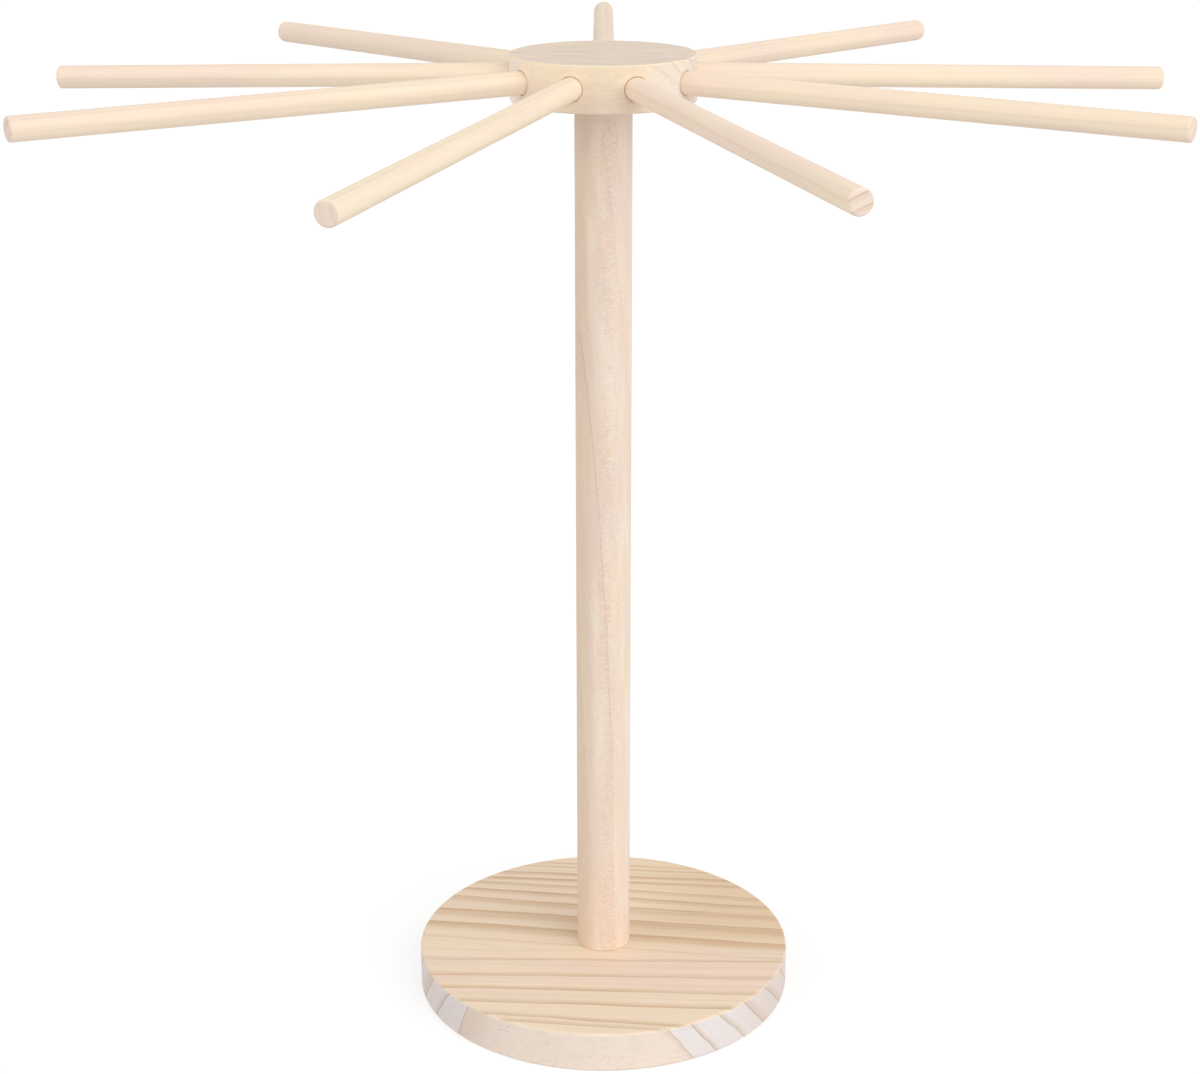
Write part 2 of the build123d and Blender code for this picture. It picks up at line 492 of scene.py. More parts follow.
def upwards(tree):
    """How far a surface faces up: 1 on top, 0 on an upright side and -1 below."""
    return parts(tree, put(tree, "ShaderNodeTexCoord").outputs["Normal"])["Z"]


def on_side(tree, upward):
    """1 on an upright side, and 0 on top and below."""
    return grade(tree, reckon(tree, "ABSOLUTE", upward), 0.75, 0.25)


def streak_level(tree, fibre, dark, light):
    """How bright the fibre's streaks leave the wood, from the darkest to the lightest."""
    return grade(tree, fibre["Streak"], 0.3, 0.7, dark, light, "LINEAR")


def finish_wood(tree, shader, tone, fibre, rough, smooth, relief, strength=0.22, height=0.1 * mm):
    """Gives a wood's shader its colour, its roughness and its relief."""
    tree.links.new(tone, shader.inputs["Base Color"])
    tree.links.new(grade(tree, fibre["Streak"], 0.3, 0.7, rough, smooth), shader.inputs["Roughness"])
    bump = put(tree, "ShaderNodeBump", {"Strength": strength, "Distance": height, "Height": relief})
    tree.links.new(bump.outputs[0], shader.inputs["Normal"])
    shader.inputs["Specular IOR Level"].default_value = 0.3


# The board's rings where they meet the top, in millimetres: the place at the
# middle, measured from front to back, the fall to the right, the width of the
# band and its depth. Behind the column the bands lie in front of their lines.
base_rings = (
    (78.2, -0.090, -2.5, 0.60),
    (73.8, -0.090, -3.0, 0.60),
    (69.2, -0.085, -1.5, 0.30),
    (66.2, -0.085, -4.5, 0.95),
    (60.0, -0.085, -4.0, 0.90),
    (51.9, -0.140, -5.0, 0.70),
    (43.6, -0.140, -5.5, 0.90),
    (34.1, -0.140, -8.5, 0.80),
    (20.6, -0.140, -10.0, 0.95),
    (15.2, -0.140, -4.0, 0.15),
    (6.4, -0.140, -9.0, 1.00),
    (1.1, -0.140, -3.0, 0.15),
    (-7.6, -0.140, -4.0, 0.30),
    (-13.6, -0.030, 3.0, 0.14),
    (-21.7, -0.020, 4.0, 0.50),
    (-27.0, -0.030, 3.0, 0.14),
    (-36.9, -0.030, 5.5, 0.62),
    (-44.2, -0.040, 3.0, 0.14),
    (-50.1, -0.045, 4.5, 0.70),
    (-55.5, -0.050, 2.5, 0.12),
    (-62.6, -0.055, 5.0, 0.74),
    (-76.9, -0.125, 4.5, 0.74),
    (-81.5, -0.110, 4.0, 0.60),
)

# The same round the side: the place on the top edge, measured round from the
# front, and the lean on the way down. The first two bound the long grain.
rim_rings = (
    (29.8, 0.72, -5, 0.50),
    (-69.1, -0.45, 22, 0.62),
    (40.5, 0.77, 4, 0.80),
    (55.9, 0.94, 5, 0.75),
    (72.0, 0.92, 8, 0.95),
    (89.2, 1.09, 7, 0.90),
    (107.5, 1.10, 5, 0.70),
    (127, 1.12, 5, 0.80),
    (145, 1.05, 6, 0.70),
    (164, 0.96, 5, 0.85),
    (182, 0.90, 6, 0.70),
    (201, 0.80, 5, 0.80),
    (-82.6, -0.77, -4, 0.80),
    (-98.6, -0.81, -13, 0.75),
    (-118, -0.88, -6, 0.80),
    (-136, -0.95, -5, 0.70),
    (-155, -1.00, -6, 0.85),
    (-173, -0.92, -5, 0.75),
    (-192, -0.85, -6, 0.80),
    (-208, -0.75, -5, 0.70),
)
pine_light = paint(244, 223, 197)
pine_back = paint(244, 222, 196)
pine_golden = paint(234, 206, 170)
pine_pink = paint(243, 218, 198)
pine_band = paint(219, 187, 151)
pine_line = paint(192, 156, 119)
pine_side = paint(241, 225, 210)
pine_side_grey = paint(230, 218, 207)
pine_side_dash = paint(196, 180, 170)
pine_end = paint(235, 228, 226)
pine_end_warm = paint(228, 214, 208)
pine_end_band = paint(219, 199, 184)
pine_end_line = paint(188, 162, 142)
base_wood, wood, base_shader = new_finish("bare_pine")
in_mm, across = in_millimetres(wood, put(wood, "ShaderNodeTexCoord").outputs["Object"])
below_top = minus(wood, base_top / mm, across["Z"])
waver = plus(wood, sway(wood, in_mm, (70, 22, 22), 3.0), sway(wood, in_mm, (18, 6, 6), 1.0))

# The top and the underside: yellower behind and to the right, pinker before
# the column, with the bands broken up into streaks that follow the rings.
from_front = reckon(wood, "MULTIPLY_ADD", below_top, -0.6, plus(wood, across["Y"], waver))
grain_lean = grade(wood, across["Y"], -24.0, 4.0, 0.04, 0.14)
across_grain = reckon(wood, "MULTIPLY_ADD", across["X"], grain_lean, from_front)
along_grain = joined(wood, across["X"], across_grain, across["Z"])
base_fibre = put_fibre(wood, scaled(wood, along_grain, mm), 90, 0.75)
top_band, top_line = put_rings(wood, from_front, across["X"], base_rings)
broad_streak = cloud(wood, along_grain, (110, 2.2, 2.2), 3.0, 0.6)
streaky = grade(wood, broad_streak, 0.38, 0.62, 0.60, 1.18)
line_patches = grade(wood, cloud(wood, in_mm, (30, 8, 8)), 0.38, 0.60, 0.25, 0.60)
in_middle = times(
    wood,
    grade(wood, across["Y"], -62.0, -44.0),
    grade(wood, across["Y"], -4.0, -24.0),
)
golden = times(
    wood,
    grade(wood, across["X"], 0.0, 60.0, 0.1, 0.75),
    grade(wood, across["Y"], -24.0, 10.0),
)
top_tone = lay_coats(wood, pine_light, (
    (grade(wood, across["Y"], -24.0, 4.0), 1, pine_back),
    (golden, 1, pine_golden),
    (in_middle, grade(wood, base_fibre["Cloud"], 0.36, 0.56), pine_pink),
    (top_band, streaky, pine_band),
    (top_line, line_patches, pine_line),
))
top_tone = scaled(wood, top_tone, grade(wood, broad_streak, 0.3, 0.7, 0.96, 1.03, "LINEAR"))

# The side: cloudy long grain in front and behind, and end grain between.
round_rim = reckon(wood, "ARCTAN2", across["X"], times(wood, across["Y"], -1))
round_rim = times(wood, round_rim, base_radius / mm)
wavy_rim = plus(wood, round_rim, sway(wood, in_mm, (16, 16, 9), 2.4))
rim_band, rim_line = put_rings(wood, wavy_rim, below_top, rim_rings)
from_right, from_left = (
    minus(wood, wavy_rim, reckon(wood, "MULTIPLY_ADD", below_top, lean, place))
    for place, lean, _, _ in rim_rings[:2]
)
in_front = times(wood, grade(wood, from_right, 0.3, -0.3), grade(wood, from_left, -1.2, 1.2))
at_back = grade(wood, reckon(wood, "ABSOLUTE", round_rim), 200.0, 240.0)
long_grain = reckon(wood, "MAXIMUM", in_front, at_back)
mottle = cloud(wood, in_mm, (7, 7, 5), 3.0, 0.6)
# Painted shade: the end grain is laid darker and warmer towards the right and the left of the side, where it
# turns away. It shares one colour with the grain's own mottle.
painted_side_shade = plus(
    wood,
    grade(wood, round_rim, 55.0, 105.0),
    grade(wood, round_rim, -60.0, -90.0, 0.0, 0.45),
)
end_mottle_and_painted_shade = plus(wood, grade(wood, mottle, 0.40, 0.66, 0.0, 0.3), painted_side_shade)
dash = grade(wood, cloud(wood, in_mm, (1.7, 1.7, 0.55), 1.0), 0.60, 0.70)
dash_patch = grade(wood, cloud(wood, in_mm, (13, 13, 7)), 0.50, 0.60)
end_tone = lay_coats(wood, pine_end, (
    (end_mottle_and_painted_shade, 1, pine_end_warm),
    (base_fibre["Pore"], 0.15, pine_end_band),
))
long_tone = lay_coats(wood, pine_side, (
    (grade(wood, mottle, 0.44, 0.72), 0.6, pine_side_grey),
    (times(wood, dash, dash_patch), 0.5, pine_side_dash),
))
side_tone = lay_coats(wood, end_tone, (
    (long_grain, 1, long_tone),
    (rim_band, 0.85, pine_end_band),
    (rim_line, 0.70, pine_end_line),
))
base_tone = lay_coats(wood, top_tone, ((on_side(wood, upwards(wood)), 1, side_tone),))
base_tone = scaled(wood, base_tone, streak_level(wood, base_fibre, 0.95, 1.03))
base_tone = lay_coats(wood, base_tone, ((base_fibre["Fleck"], 0.14, pine_band),))
base_relief = reckon(wood, "MULTIPLY_ADD", top_band, 0.5, base_fibre["Streak"])
finish_wood(wood, base_shader, base_tone, base_fibre, 0.64, 0.52, base_relief, 0.25, 0.12 * mm)

base_disc = turn_piece("base_disc", base_outline, base_wood, base_segments)
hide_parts("base")
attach(base_disc, "stand")

# Column. A plain dowel of straight-grained pale wood, its two ends just broken.
# Fine lines run up it, and small ray flecks show where the rings are cut square.
# It is drilled below for its insert and above for the stud.
column_low, column_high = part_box("column")
column_radius = column_high.x
column_foot = column_low.z
column_top = column_high.z
column_break = 0.4 * mm
column_segments = 144
glue_gap = 0.05 * mm
hole_end_gap = 0.5 * mm
_, insert_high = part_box("column_insert")
insert_hole_radius = insert_high.x + glue_gap
insert_hole_top = insert_high.z + hole_end_gap
stud_low, stud_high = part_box("hub_stud")
stud_hole_radius = stud_high.x + glue_gap
stud_hole_bottom = stud_low.z - hole_end_gap
column_outline = [
    (0, insert_hole_top),
    (insert_hole_radius, insert_hole_top),
    (insert_hole_radius, insert_hole_top - support_gap),
    (insert_hole_radius, column_foot),
    (insert_hole_radius + support_gap, column_foot),
    (column_radius - column_break - support_gap, column_foot),
    *rounded(column_radius - column_break, column_foot + column_break, column_break, -90, 0, 4),
    (column_radius, column_foot + column_break + support_gap),
    (column_radius, (column_foot + column_top) / 2),
    (column_radius, column_top - column_break - support_gap),
    *rounded(column_radius - column_break, column_top - column_break, column_break, 0, 90, 4),
    (column_radius - column_break - support_gap, column_top),
    (stud_hole_radius + support_gap, column_top),
    (stud_hole_radius, column_top),
    (stud_hole_radius, stud_hole_bottom + support_gap),
    (stud_hole_radius, stud_hole_bottom),
    (0, stud_hole_bottom),
]


def upright_grain(tree, vector):
    """A place with its Z brought to X, so that grain along X runs up the piece."""
    part = parts(tree, vector)
    return joined(tree, part["Z"], part["X"], part["Y"])


column_cream = paint(240, 220, 201)
column_pink = paint(235, 211, 198)
column_peach = paint(241, 215, 186)
column_pale = paint(247, 233, 217)
column_band = paint(230, 203, 184)
column_line = paint(205, 170, 148)
column_end = paint(236, 214, 196)
column_wood, wood, column_shader = new_finish("bare_column_wood")
column_place = put(wood, "ShaderNodeTexCoord").outputs["Object"]
in_mm, across = in_millimetres(wood, column_place)
column_fibre = put_fibre(wood, upright_grain(wood, column_place), 26, 0.5)

# The rings cross the dowel as nearly upright planes, square to one way across
# it, and bend away from its middle towards the top. The nearest one comes out
# on the left and runs down the front as a fine line.
ring_way = math.radians(-75)
ring_bend = 14.5
ring_bend_foot = 19
ring_bend_rise = 307
ring_bend_power = 2.1
column_rings = (
    (-2.3, 0, 4, 0.60),
    (-8.5, 0, 3, 0.10),
    (-14, 0, 3, 0.14),
    (-20.5, 0, 3, 0.20),
    (-27, 0, 3, 0.14),
    (4, 0, 3, 0.10),
    (9, 0, 3, 0.16),
)
way_across = put(wood, "ShaderNodeVectorMath", {
    0: in_mm,
    1: (math.sin(ring_way), -math.cos(ring_way), 0),
}, operation="DOT_PRODUCT").outputs["Value"]
bend_end = ring_bend_foot + 2 * ring_bend_rise
up_share = grade(wood, across["Z"], ring_bend_foot, bend_end, 0.0, 2.0, "LINEAR")
bend = times(wood, reckon(wood, "POWER", up_share, ring_bend_power), ring_bend)
from_ring = plus(wood, minus(wood, way_across, bend), sway(wood, in_mm, (9, 9, 38), 1.6))
band_mask, line_mask = put_rings(wood, from_ring, across["Z"], column_rings, 1.7)

# Soft blotches: peach at the foot, pinker above. The peach on the left is painted
# shade, and so is the darker left below; the paler right is painted light.
pink_blotch = cloud(wood, in_mm, (5, 5, 60))
painted_left_shade = grade(wood, across["X"], -3.0, -12.0, 0.0, 0.85)
foot = grade(wood, across["Z"], 120.0, 40.0, -0.1, 0.1)
blotch = grade(wood, cloud(wood, in_mm, (8, 8, 28), 4.0, 0.6), 0.46, 0.60, 0.0, 0.6)
peach_and_left_shade = plus(wood, blotch, plus(wood, painted_left_shade, foot))
pinkness = plus(
    wood,
    grade(wood, pink_blotch, 0.44, 0.62, 0.0, 0.7),
    grade(wood, across["Z"], 130.0, 330.0, 0.0, 0.3),
)
small_mottle = cloud(wood, in_mm, (2.2, 2.2, 4.5), 3.0, 0.65)
line_share = times(
    wood,
    grade(wood, across["Z"], 35.0, 170.0, 0.1, 0.55),
    grade(wood, across["X"], -12.3, -9.5),
)
column_tone = lay_coats(wood, column_cream, (
    (pinkness, 1, column_pink),
    (grade(wood, pink_blotch, 0.48, 0.34), 0.45, column_pale),
))
column_tone = scaled(wood, column_tone, grade(wood, small_mottle, 0.35, 0.65, 0.982, 1.016, "LINEAR"))
column_tone = lay_coats(wood, column_tone, (
    # Painted light: the right side of the column is laid paler.
    (grade(wood, across["X"], 1.0, 8.0), 0.25, column_pale),
    (grade(wood, peach_and_left_shade, 0.0, 1.0, 0.0, 0.8, "LINEAR"), 1, column_peach),
    (band_mask, 0.5, column_band),
    (line_mask, line_share, column_line),
))
column_tone = scaled(wood, column_tone, streak_level(wood, column_fibre, 0.975, 1.02))
# Painted shade: the left side of the column is darkened.
column_tone = scaled(wood, column_tone, grade(wood, across["X"], -2.0, -12.0, 1.0, 0.94))

# The ray flecks: short bars across the grain, some paler and some darker, in
# the strip where the rings are cut square, and faint everywhere.
from_strip = reckon(wood, "ABSOLUTE", minus(wood, way_across, 0.5))
in_strip = grade(wood, from_strip, 7.5, 1.0, 0.40, 1.0)
ray_noise = cloud(wood, in_mm, (1.9, 1.9, 0.75), 2.0, 0.6)
pale_rays = times(wood, grade(wood, ray_noise, 0.55, 0.68), in_strip)
dark_rays = times(wood, grade(wood, ray_noise, 0.44, 0.32), in_strip)
column_end_tone = lay_coats(wood, column_end, ((column_fibre["Pore"], 0.4, column_band),))
end_facing = grade(wood, reckon(wood, "ABSOLUTE", upwards(wood)), 0.5, 0.8)
column_tone = lay_coats(wood, column_tone, (
    (pale_rays, 0.65, column_pale),
    (dark_rays, 0.26, column_line),
    (end_facing, 1, column_end_tone),
))
column_relief = reckon(wood, "MULTIPLY_ADD", pale_rays, 0.4, column_fibre["Streak"])
finish_wood(wood, column_shader, column_tone, column_fibre, 0.60, 0.50, column_relief)

column_dowel = turn_piece("column_dowel", column_outline, column_wood, column_segments)
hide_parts("column")
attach(column_dowel, "stand")

# Bolt and washer. A zinc-plated bolt with a low round head and a six-sided
# key hole comes up through the base into the column and pulls the two
# together. Its punched washer lies on the floor of the stepped hole.
bolt_low, bolt_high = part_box("base_bolt")
washer_low, washer_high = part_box("base_washer")
bolt_radius = 3 * mm
bolt_core_share = 0.82
bolt_pitch = 1 * mm
bolt_thread_depth = bolt_radius * (1 - bolt_core_share)
bolt_core = bolt_radius - bolt_thread_depth
bolt_head_radius = bolt_high.x
bolt_head_round = 1.6 * mm
bolt_head_break = 0.2 * mm
bolt_head_top = washer_low.z
bolt_neck = 0.8 * mm
key_radius = 2 * mm
key_depth = 2 * mm
key_break = 0.15 * mm
rows_to_a_turn = 10
metal_segments = 96


def thread(radius, bottom, top, depth, pitch, narrowness=1.0, first_radius=math.inf, last_radius=math.inf):
    """Outline points of a screw thread, which may taper at either end. With a
    depth below zero it is cut outwards, in the wall of a hole."""
    rows = max(2, round((top - bottom) / pitch * rows_to_a_turn))
    points = []
    for row in range(rows + 1):
        height = bottom + (top - bottom) * row / rows
        limit = min(radius, first_radius + (height - bottom), last_radius + (top - height))
        row_depth = depth if depth < 0 else max(0.0, depth - (radius - limit))
        points.append((limit, height, row_depth, pitch, narrowness))
    return points


bolt_outline = [
    (0, bolt_low.z + key_depth),
    (key_radius, bolt_low.z + key_depth, 0, mm, 1, 1),
    (key_radius, bolt_low.z + key_break, 0, mm, 1, 1),
    (key_radius + key_break, bolt_low.z, 0, mm, 1, 1),
    (bolt_head_radius - bolt_head_round - support_gap / 2, bolt_low.z),
    *rounded(bolt_head_radius - bolt_head_round, bolt_low.z + bolt_head_round, bolt_head_round, -90, 0, 10),
    (bolt_head_radius, bolt_head_top - bolt_head_break),
    (bolt_head_radius - bolt_head_break, bolt_head_top),
    (bolt_radius - bolt_thread_depth / 2, bolt_head_top),
    *thread(
        bolt_radius,
        bolt_head_top + bolt_neck,
        bolt_high.z,
        bolt_thread_depth,
        bolt_pitch,
        first_radius=bolt_core,
        last_radius=bolt_core,
    ),
    (0, bolt_high.z),
]
washer_hole = 3.2 * mm
washer_round = 0.3 * mm
washer_outline = [
    (washer_hole + washer_round, washer_low.z),
    *rounded(washer_high.x - washer_round, washer_low.z + washer_round, washer_round, -90, 0, 4),
    (washer_high.x, washer_high.z),
    (washer_hole, washer_high.z),
    *rounded(washer_hole + washer_round, washer_low.z + washer_round, washer_round, 180, 270, 4),
]

# Handled metal: soft clouds in the plating, fine scratches and small specks.
metal_tree, metal_in, metal_out = new_tree(
    "handled_metal",
    "ShaderNodeTree",
    (("Place", "Vector"), ("Cloud Size", "Float")),
    (("Cloud", "Float"), ("Scratch", "Float"), ("Speck", "Float")),
)
metal_place = metal_in["Place"]
cloud_size = metal_in["Cloud Size"]
cloud_sizes = joined(metal_tree, cloud_size, cloud_size, cloud_size)
scratches = cloud(metal_tree, metal_place, (6 * mm, 0.12 * mm, 0.5 * mm), 2.0, 0.7)
specks = cloud(metal_tree, metal_place, (0.4 * mm, 0.4 * mm, 0.4 * mm), 1.0)
for metal_mask, metal_value in (
    ("Cloud", cloud(metal_tree, metal_place, cloud_sizes, 3.0)),
    ("Scratch", grade(metal_tree, scratches, 0.55, 0.75)),
    ("Speck", grade(metal_tree, specks, 0.66, 0.76)),
):
    metal_tree.links.new(metal_value, metal_out[metal_mask])


def metal_finish(name, bright, dull, smooth, rough):
    """A metal of two tones, smoother where it is bright."""
    finish, tree, shader = new_finish(name)
    place = put(tree, "ShaderNodeTexCoord").outputs["Object"]
    wear = put_group(tree, metal_tree, {"Place": place, "Cloud Size": 3.5 * mm})
    tone = lay_coats(tree, bright, (
        (grade(tree, wear["Cloud"], 0.35, 0.65), 1, dull),
        (wear["Speck"], 0.5, dull),
    ))
    level = grade(tree, wear["Cloud"], 0.3, 0.7, smooth, rough)
    level = reckon(tree, "MULTIPLY_ADD", wear["Scratch"], 0.12, level)
    bump = put(tree, "ShaderNodeBump", {"Strength": 0.15, "Distance": 0.03 * mm, "Height": wear["Scratch"]})
    for socket, value in (("Base Color", tone), ("Roughness", level), ("Normal", bump.outputs[0])):
        tree.links.new(value, shader.inputs[socket])
    shader.inputs["Metallic"].default_value = 1.0
    return finish


zinc_plate = metal_finish("zinc_plate", paint(208, 209, 212), paint(178, 181, 187), 0.22, 0.38)
bolt_screw = turn_piece("base_bolt_screw", bolt_outline, zinc_plate, metal_segments)
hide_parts("base_bolt")
washer_ring = turn_piece("base_washer_ring", washer_outline, zinc_plate, metal_segments)
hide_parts("base_washer")
for piece in (bolt_screw, washer_ring):
    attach(piece, "stand")

# Threaded inserts. A brass sleeve with a coarse thread outside is screwed into
# the column's foot for the bolt, and one like it under the hub for the stud.
# Each has a fine thread inside and a six-sided key hole at its mouth.
insert_pitch = 2 * mm
insert_core_share = 0.82
insert_bore = 3.05 * mm
insert_bore_depth = 0.4 * mm
insert_key_depth = 3 * mm
insert_narrowness = 2.2
yellow_brass = metal_finish("yellow_brass", paint(222, 190, 122), paint(196, 158, 92), 0.26, 0.42)
for insert_node, insert_name, insert_body in (
    ("column_insert", "column_insert_sleeve", "stand"),
    ("hub_insert", "hub_insert_sleeve", "hub_thread"),
):
    insert_low, insert_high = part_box(insert_node)
    insert_radius = insert_high.x
    insert_depth = insert_radius * (1 - insert_core_share)
    insert_core = insert_radius - insert_depth
    key_top = insert_low.z + insert_key_depth
    inner_thread = thread(insert_bore, key_top, insert_high.z, -insert_bore_depth, bolt_pitch)
    insert_outline = [
        (insert_bore, insert_high.z),
        *reversed(inner_thread),
        (insert_bore, key_top, 0, mm, 1, 1),
        (insert_bore, insert_low.z, 0, mm, 1, 1),
        *thread(
            insert_radius,
            insert_low.z,
            insert_high.z,
            insert_depth,
            insert_pitch,
            insert_narrowness,
            first_radius=insert_core,
            last_radius=insert_core,
        ),
        (insert_bore, insert_high.z),
    ]
    insert_sleeve = turn_piece(insert_name, insert_outline, yellow_brass, metal_segments)
    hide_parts(insert_node)
    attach(insert_sleeve, insert_body)

# Hub stud. A zinc-plated hanger bolt: a pointed wood thread is driven down into
# the column's top, and a machine thread stands up for the hub to screw onto.
stud_radius = stud_high.x
stud_wood_pitch = 2.4 * mm
stud_wood_depth = 0.8 * mm
stud_wood_narrowness = 2.4
stud_wood_start = 0.3 * mm
stud_wood_start_radius = 0.5 * mm
stud_tip_radius = 0.25 * mm
stud_tip_height = 0.1 * mm
stud_wood_end = 1.2 * mm
stud_neck_radius = stud_radius - bolt_thread_depth / 2
stud_neck_foot = 0.8 * mm
stud_neck_top = 0.2 * mm
stud_end = 0.7 * mm
stud_outline = [
    (0, stud_low.z),
    (stud_tip_radius, stud_low.z + stud_tip_height),
    *thread(
        stud_radius,
        stud_low.z + stud_wood_start,
        column_top - stud_wood_end,
        stud_wood_depth,
        stud_wood_pitch,
        stud_wood_narrowness,
        first_radius=stud_wood_start_radius,
        last_radius=stud_radius - stud_wood_depth,
    ),
    (stud_neck_radius, column_top - stud_neck_foot),
    (stud_neck_radius, column_top - stud_neck_top),
    *thread(
        stud_radius,
        column_top,
        stud_high.z,
        bolt_thread_depth,
        bolt_pitch,
        first_radius=stud_radius - bolt_thread_depth,
        last_radius=stud_radius - stud_end,
    ),
    (0, stud_high.z),
]
hanger_stud = turn_piece("hub_stud_screw", stud_outline, zinc_plate, metal_segments)
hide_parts("hub_stud")
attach(hanger_stud, "stand")

# Hub. A thick disc of the same pale wood, its rims just rounded, with nine
# blind sockets bored in its side for the arms and one hole below for its
# insert. Its grain runs from left to right.
hub_low, hub_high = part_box("hub")
hub_radius = hub_high.x
hub_bottom = hub_low.z
hub_top = hub_high.z
hub_middle = (hub_bottom + hub_top) / 2
hub_round = 0.8 * mm
_, hub_insert_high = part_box("hub_insert")
hub_hole_radius = hub_insert_high.x + glue_gap
hub_hole_top = hub_insert_high.z + hole_end_gap
arm_count = 9
arm_radius = 5 * mm
first_arm_angle = math.radians(-70)
arm_step = math.tau / arm_count
arm_fit = 0.05 * mm
socket_radius = arm_radius + arm_fit
socket_depth = 22 * mm
arm_end_gap = 0.04 * mm
socket_floor = socket_depth + arm_end_gap
socket_break = 0.35 * mm
socket_lip = 2 * mm
across_steps = 20
up_steps = 12
patch_steps = 6

# The arms' joints give the way that each socket points and how far each arm
# stands off its socket's floor.
arm_ways = {joint["child"]: Vector(joint["axis"]) for joint in frame["joints"]}
arm_standoffs = {joint["child"]: -joint["range_m"][0] for joint in frame["joints"] if "range_m" in joint}


def socket_mouth(angle):
    """The middle of a socket's mouth on the hub's side."""
    return Vector((hub_radius * math.cos(angle), hub_radius * math.sin(angle), hub_middle))


def hub_side_rows(angle, way):
    """Rows of points from the edge of one arm's share of the hub's side in to
    its socket's mouth, and down the socket to its floor."""
    mouth_middle = socket_mouth(angle)
    aside = Vector((-way.y, way.x, 0)).normalized()
    upward = way.cross(aside)
    half_width = hub_radius * arm_step / 2
    half_height = (hub_top - hub_bottom) / 2 - hub_round
    across_shares = [2 * step / across_steps - 1 for step in range(across_steps)]
    up_shares = [2 * step / up_steps - 1 for step in range(up_steps)]
    frame_edge = [
        *((half_width * share, half_height) for share in across_shares),
        *((half_width, -half_height * share) for share in up_shares),
        *((-half_width * share, -half_height) for share in across_shares),
        *((-half_width, half_height * share) for share in up_shares),
    ]
    count = len(frame_edge)
    corner_angle = math.atan2(half_height, -half_width)
    turns = [corner_angle - math.tau * number / count for number in range(count)]

    def on_hub(sideways, raised):
        turn = angle + sideways / hub_radius
        return (hub_radius * math.cos(turn), hub_radius * math.sin(turn), hub_middle + raised)

    def in_socket(radius, turn, out):
        return mouth_middle + radius * (aside * math.cos(turn) + upward * math.sin(turn)) + way * out

    def out_to_side(radius, turn):
        """How far out along its way a point of the socket meets the hub's side."""
        start = in_socket(radius, turn, 0).xy
        rise = start.dot(way.xy)
        run = way.xy.length_squared
        return (math.sqrt(rise ** 2 - run * (start.length_squared - hub_radius ** 2)) - rise) / run

    def rim(radius, turn):
        point = in_socket(radius, turn, out_to_side(radius, turn))
        round_hub = math.remainder(math.atan2(point.y, point.x) - angle, math.tau)
        return hub_radius * round_hub, point.z - hub_middle

    rows = [[on_hub(*point) for point in frame_edge]]
    mouth_radius = socket_radius + socket_break
    for step in range(patch_steps):
        share = min(1.0, (step + 1) / (patch_steps - 1))
        radius = mouth_radius if step == patch_steps - 1 else mouth_radius + socket_break
        row = []
        for point, turn in zip(frame_edge, turns):
            edge = rim(radius, turn)
            row.append(on_hub(*(point[axis] * (1 - share) + edge[axis] * share for axis in (0, 1))))
        rows.append(row)
    rows.append([
        in_socket(socket_radius, turn, out_to_side(socket_radius, turn) - socket_break)
        for turn in turns
    ])
    for radius, depth in (
        (socket_radius, socket_lip),
        (socket_radius, socket_floor - support_gap),
        (socket_radius, socket_floor),
        (socket_radius - support_gap, socket_floor),
        (0, socket_floor),
    ):
        rows.append([in_socket(radius, turn, -depth) for turn in turns])
    return rows


def skin(shape, rows):
    """Faces between rows of points, each row a closed ring, and the rings of points."""
    rings = [[shape.verts.new(point) for point in row] for row in rows]
    for outer, inner in zip(rings, rings[1:]):
        for number in range(len(outer)):
            after = (number + 1) % len(outer)
            shape.faces.new((outer[number], outer[after], inner[after], inner[number]))
    return rings


hub_shape = bmesh.new()
bored_mark = hub_shape.verts.layers.float.new("seam_shade_mask")
for arm_number in range(arm_count):
    arm_angle = first_arm_angle + arm_number * arm_step
    side_rings = skin(hub_shape, hub_side_rows(arm_angle, arm_ways[f"arm_{arm_number + 1}"]))
    for socket_ring in side_rings[patch_steps + 1:]:
        for point in socket_ring:
            point[bored_mark] = 1.0
hub_steps = arm_count * across_steps
hub_turns = [first_arm_angle + arm_step * (0.5 + number / across_steps) for number in range(hub_steps)]
hub_caps = (
    [
        *rounded(hub_radius - hub_round, hub_top - hub_round, hub_round, 0, 90),
        (hub_radius - hub_round - support_gap, hub_top),
        (hub_radius * 2 / 3, hub_top),
        (hub_radius / 3, hub_top),
        (0, hub_top),
    ],
    [
        *rounded(hub_radius - hub_round, hub_bottom + hub_round, hub_round, 0, -90),
        (hub_radius - hub_round - support_gap, hub_bottom),
        (hub_radius / 2, hub_bottom),
        (hub_hole_radius + support_gap, hub_bottom),
        (hub_hole_radius, hub_bottom),
        (hub_hole_radius, hub_hole_top - support_gap),
        (hub_hole_radius, hub_hole_top),
        (0, hub_hole_top),
    ],
)
for hub_cap in hub_caps:
    skin(hub_shape, [[(r * math.cos(turn), r * math.sin(turn), z) for turn in hub_turns] for r, z in hub_cap])
bmesh.ops.remove_doubles(hub_shape, verts=hub_shape.verts, dist=merge_distance * 2)
bmesh.ops.dissolve_degenerate(hub_shape, dist=merge_distance / 2, edges=hub_shape.edges)
bmesh.ops.recalc_face_normals(hub_shape, faces=hub_shape.faces)
for face in hub_shape.faces:
    face.smooth = True
for edge in hub_shape.edges:
    edge.smooth = edge.calc_face_angle(0) < turned_edge_angle
hub_mesh = bpy.data.meshes.new("hub_disc")
hub_shape.to_mesh(hub_mesh)
hub_shape.free()

